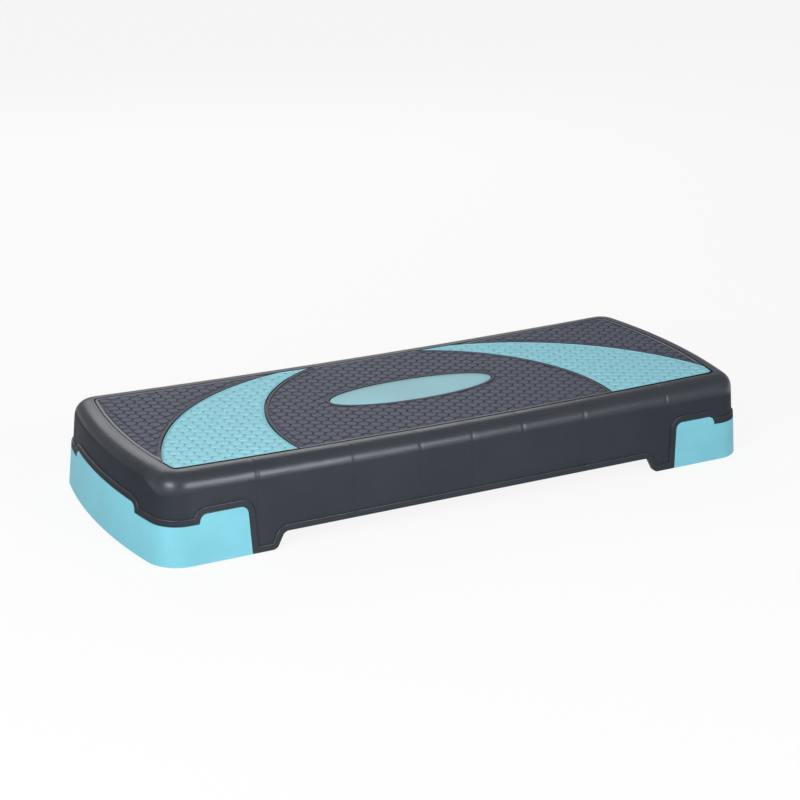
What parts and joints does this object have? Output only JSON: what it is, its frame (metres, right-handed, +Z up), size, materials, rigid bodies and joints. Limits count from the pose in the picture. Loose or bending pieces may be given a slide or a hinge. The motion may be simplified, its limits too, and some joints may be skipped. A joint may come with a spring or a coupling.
{
  "type": "aerobic step platform",
  "caption": "Low exercise step with a dished grip top, bowed ends and end risers that slide down on posts to raise it, locked by hand-slid bolts underneath.",
  "frame": {"origin": "middle of the floor under the platform, at its low height", "axes": "+X along its length to the right, -Y its front, +Z up"},
  "size_m": [0.78, 0.3, 0.0993],
  "materials": {
    "deck_plastic": "satin dark grey moulded polypropylene",
    "dark_mat_rubber": "matte dark grey honeycomb grip rubber",
    "turquoise_mat_rubber": "matte turquoise honeycomb grip rubber",
    "badge_plastic": "smooth turquoise, bare",
    "riser_plastic": "satin turquoise moulded polypropylene",
    "pad_rubber": "matte black",
    "bolt_plastic": "satin turquoise",
    "keeper_plastic": "satin dark grey",
    "screw_steel": "zinc plated"
  },
  "bodies": {
    "deck": {"deck_shell": "deck_plastic", "centre_grip_mat": "dark_mat_rubber", "centre_badge": "badge_plastic", "keeper_screws": "screw_steel", "left_end_grip_mat": "dark_mat_rubber", "left_crescent_mat": "turquoise_mat_rubber", "right_end_grip_mat": "dark_mat_rubber", "right_crescent_mat": "turquoise_mat_rubber", "front_left_foot_pad": "pad_rubber", "front_left_lock_keeper": "keeper_plastic", "back_left_foot_pad": "pad_rubber", "back_left_lock_keeper": "keeper_plastic", "front_right_foot_pad": "pad_rubber", "front_right_lock_keeper": "keeper_plastic", "back_right_foot_pad": "pad_rubber", "back_right_lock_keeper": "keeper_plastic"},
    "left_riser": {"left_riser": "riser_plastic", "front_left_riser_pad": "pad_rubber", "back_left_riser_pad": "pad_rubber"},
    "right_riser": {"right_riser": "riser_plastic", "front_right_riser_pad": "pad_rubber", "back_right_riser_pad": "pad_rubber"},
    "front_left_lock": {"front_left_lock_bolt": "bolt_plastic"},
    "back_left_lock": {"back_left_lock_bolt": "bolt_plastic"},
    "front_right_lock": {"front_right_lock_bolt": "bolt_plastic"},
    "back_right_lock": {"back_right_lock_bolt": "bolt_plastic"}
  },
  "joints": [
    {"name": "left_riser_slide", "type": "slide", "parent": "deck", "child": "left_riser", "axis": [0, 0, -1], "range_m": [0, 0.05]},
    {"name": "right_riser_slide", "type": "slide", "parent": "deck", "child": "right_riser", "axis": [0, 0, -1], "range_m": [0, 0.05]},
    {"name": "front_left_lock_slide", "type": "slide", "parent": "deck", "child": "front_left_lock", "axis": [-1, 0, 0], "range_m": [0, 0.012]},
    {"name": "back_left_lock_slide", "type": "slide", "parent": "deck", "child": "back_left_lock", "axis": [-1, 0, 0], "range_m": [0, 0.012]},
    {"name": "front_right_lock_slide", "type": "slide", "parent": "deck", "child": "front_right_lock", "axis": [1, 0, 0], "range_m": [0, 0.012]},
    {"name": "back_right_lock_slide", "type": "slide", "parent": "deck", "child": "back_right_lock", "axis": [1, 0, 0], "range_m": [0, 0.012]}
  ]
}
